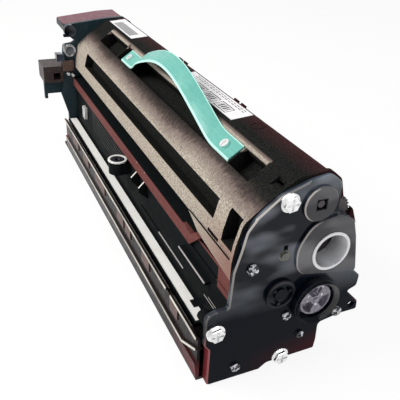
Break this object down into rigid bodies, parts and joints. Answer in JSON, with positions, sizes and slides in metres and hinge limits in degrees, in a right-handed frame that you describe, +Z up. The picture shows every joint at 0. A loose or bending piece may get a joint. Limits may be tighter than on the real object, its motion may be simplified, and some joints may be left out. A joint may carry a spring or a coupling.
{
  "type": "printer drum unit",
  "caption": "Long process unit of an office printer with a photoconductor drum, charging, cleaning and developing sections, geared end plate, toner inlet and carrying strap.",
  "frame": {"origin": "centre of the drum bore on the face of its boss at the near, driven end", "axes": "+X along the drum axis, out of the near end; +Y to the right as seen from the near end; +Z up"},
  "size_m": [0.4833, 0.1453, 0.1754],
  "materials": {
    "casing_black": "fine grained matt black",
    "housing_black": "fine grained matt black",
    "plate_black": "smooth glossy black",
    "far_panel_dark": "matt dark blue-green",
    "tray_black": "matt black",
    "guide_black": "matt black",
    "pad_tan": "matt warm tan",
    "strip_metal": "bright sheet",
    "strap_mint": "satin pale green",
    "screw_steel": "bright plated",
    "bush_steel": "turned",
    "drum_coating": "mirror smooth coating",
    "gear_plastic": "natural white",
    "shaft_steel": "ground",
    "roller_rubber": "smooth",
    "roller_foam": "open foam",
    "bearing_plastic": "matt",
    "blade_urethane": "translucent amber",
    "sleeve_aluminium": "blasted",
    "magnet_dark": "matt dark",
    "coupling_grey": "satin grey",
    "white_plastic": "smooth white",
    "connector_grey": "matt grey",
    "latch_brown": "matt brown",
    "label_white": "printed film"
  },
  "bodies": {
    "frame": {"top_casing": "casing_black", "development_housing": "housing_black", "near_end_plate": "plate_black", "far_end_frame": "far_panel_dark", "base_tray": "tray_black", "lower_guide": "guide_black", "guide_pads": "pad_tan", "blade_strip": "strip_metal", "carrying_strap": "strap_mint", "strap_screws": "screw_steel", "plate_screws": "screw_steel", "small_screws": "screw_steel", "far_screws": "screw_steel", "drum_bush": "bush_steel", "charge_bearings": "bearing_plastic", "charge_holder": "tray_black", "charge_springs": "shaft_steel", "cleaning_blade": "blade_urethane", "cleaning_blade_bracket": "strip_metal", "magnet_roller": "magnet_dark", "sleeve_bearings": "bearing_plastic", "auger_bearings": "bearing_plastic", "doctor_blade": "strip_metal", "drive_cup": "plate_black", "feed_bearing_cap": "plate_black", "hook_pin": "shaft_steel", "fill_port_ring": "housing_black", "fill_port_plug": "plate_black", "wire_clip": "white_plastic", "toner_inlet_block": "far_panel_dark", "inlet_knob": "plate_black", "connector_block": "connector_grey", "connector_foot": "far_panel_dark", "latch_block": "plate_black", "latch_pad": "latch_brown", "harness_ring": "white_plastic", "harness_core": "plate_black", "locating_pins": "white_plastic", "rear_label": "label_white", "front_label": "label_white", "drum_seals": "roller_foam"},
    "drum": {"drum_tube": "drum_coating", "drum_near_flange": "gear_plastic", "drum_far_flange": "gear_plastic"},
    "charge_roller": {"charge_roller_shaft": "shaft_steel", "charge_roller_sleeve": "roller_rubber"},
    "charge_cleaner": {"charge_cleaning_roller": "roller_foam", "charge_cleaning_shaft": "shaft_steel"},
    "waste_idler": {"waste_idler_gear": "gear_plastic"},
    "waste_conveyor": {"waste_coil": "gear_plastic", "waste_coil_gear": "gear_plastic"},
    "drive": {"drive_coupling": "coupling_grey"},
    "sleeve": {"developing_sleeve": "sleeve_aluminium", "sleeve_caps": "sleeve_aluminium", "sleeve_gear": "gear_plastic"},
    "feed_screw": {"feed_auger": "gear_plastic", "feed_auger_gear": "gear_plastic"},
    "return_screw": {"return_auger": "gear_plastic", "return_auger_gear": "gear_plastic"},
    "shutter": {"inlet_shutter": "pad_tan"}
  },
  "joints": [
    {"name": "drum_spin", "type": "hinge", "parent": "frame", "child": "drum", "pos_m": [-0.2, 0, 0], "axis": [1, 0, 0], "continuous": true},
    {"name": "charge_roller_spin", "type": "hinge", "parent": "frame", "child": "charge_roller", "pos_m": [-0.2, -0.01849, 0.01068], "axis": [1, 0, 0], "continuous": true},
    {"name": "charge_cleaner_spin", "type": "hinge", "parent": "frame", "child": "charge_cleaner", "pos_m": [-0.2, -0.02745, 0.01585], "axis": [1, 0, 0], "continuous": true},
    {"name": "waste_idler_spin", "type": "hinge", "parent": "frame", "child": "waste_idler", "pos_m": [-0.011, 0.00402, 0.02609], "axis": [1, 0, 0], "continuous": true},
    {"name": "waste_conveyor_spin", "type": "hinge", "parent": "frame", "child": "waste_conveyor", "pos_m": [-0.2, -0.014, 0.038], "axis": [1, 0, 0], "continuous": true},
    {"name": "coupling_spin", "type": "hinge", "parent": "frame", "child": "drive", "pos_m": [-0.012, -0.00536, -0.03966], "axis": [1, 0, 0], "continuous": true},
    {"name": "sleeve_spin", "type": "hinge", "parent": "frame", "child": "sleeve", "pos_m": [-0.2, -0.01663, -0.01847], "axis": [1, 0, 0], "continuous": true},
    {"name": "feed_screw_spin", "type": "hinge", "parent": "frame", "child": "feed_screw", "pos_m": [-0.2, -0.03445, -0.02755], "axis": [1, 0, 0], "continuous": true},
    {"name": "return_screw_spin", "type": "hinge", "parent": "frame", "child": "return_screw", "pos_m": [-0.2, -0.05142, -0.04452], "axis": [1, 0, 0], "continuous": true},
    {"name": "shutter_slide", "type": "slide", "parent": "frame", "child": "shutter", "axis": [0, 1, 0], "range_m": [0, 0.024]}
  ],
  "couplings": [
    {"joint": "charge_roller_spin", "follows": "drum_spin", "ratio": -2.5},
    {"joint": "charge_cleaner_spin", "follows": "drum_spin", "ratio": 3.75},
    {"joint": "waste_idler_spin", "follows": "drum_spin", "ratio": -1.75},
    {"joint": "waste_conveyor_spin", "follows": "drum_spin", "ratio": 1.4},
    {"joint": "sleeve_spin", "follows": "coupling_spin", "ratio": -1.7273},
    {"joint": "feed_screw_spin", "follows": "coupling_spin", "ratio": 1.3571},
    {"joint": "return_screw_spin", "follows": "coupling_spin", "ratio": -1.1875}
  ]
}
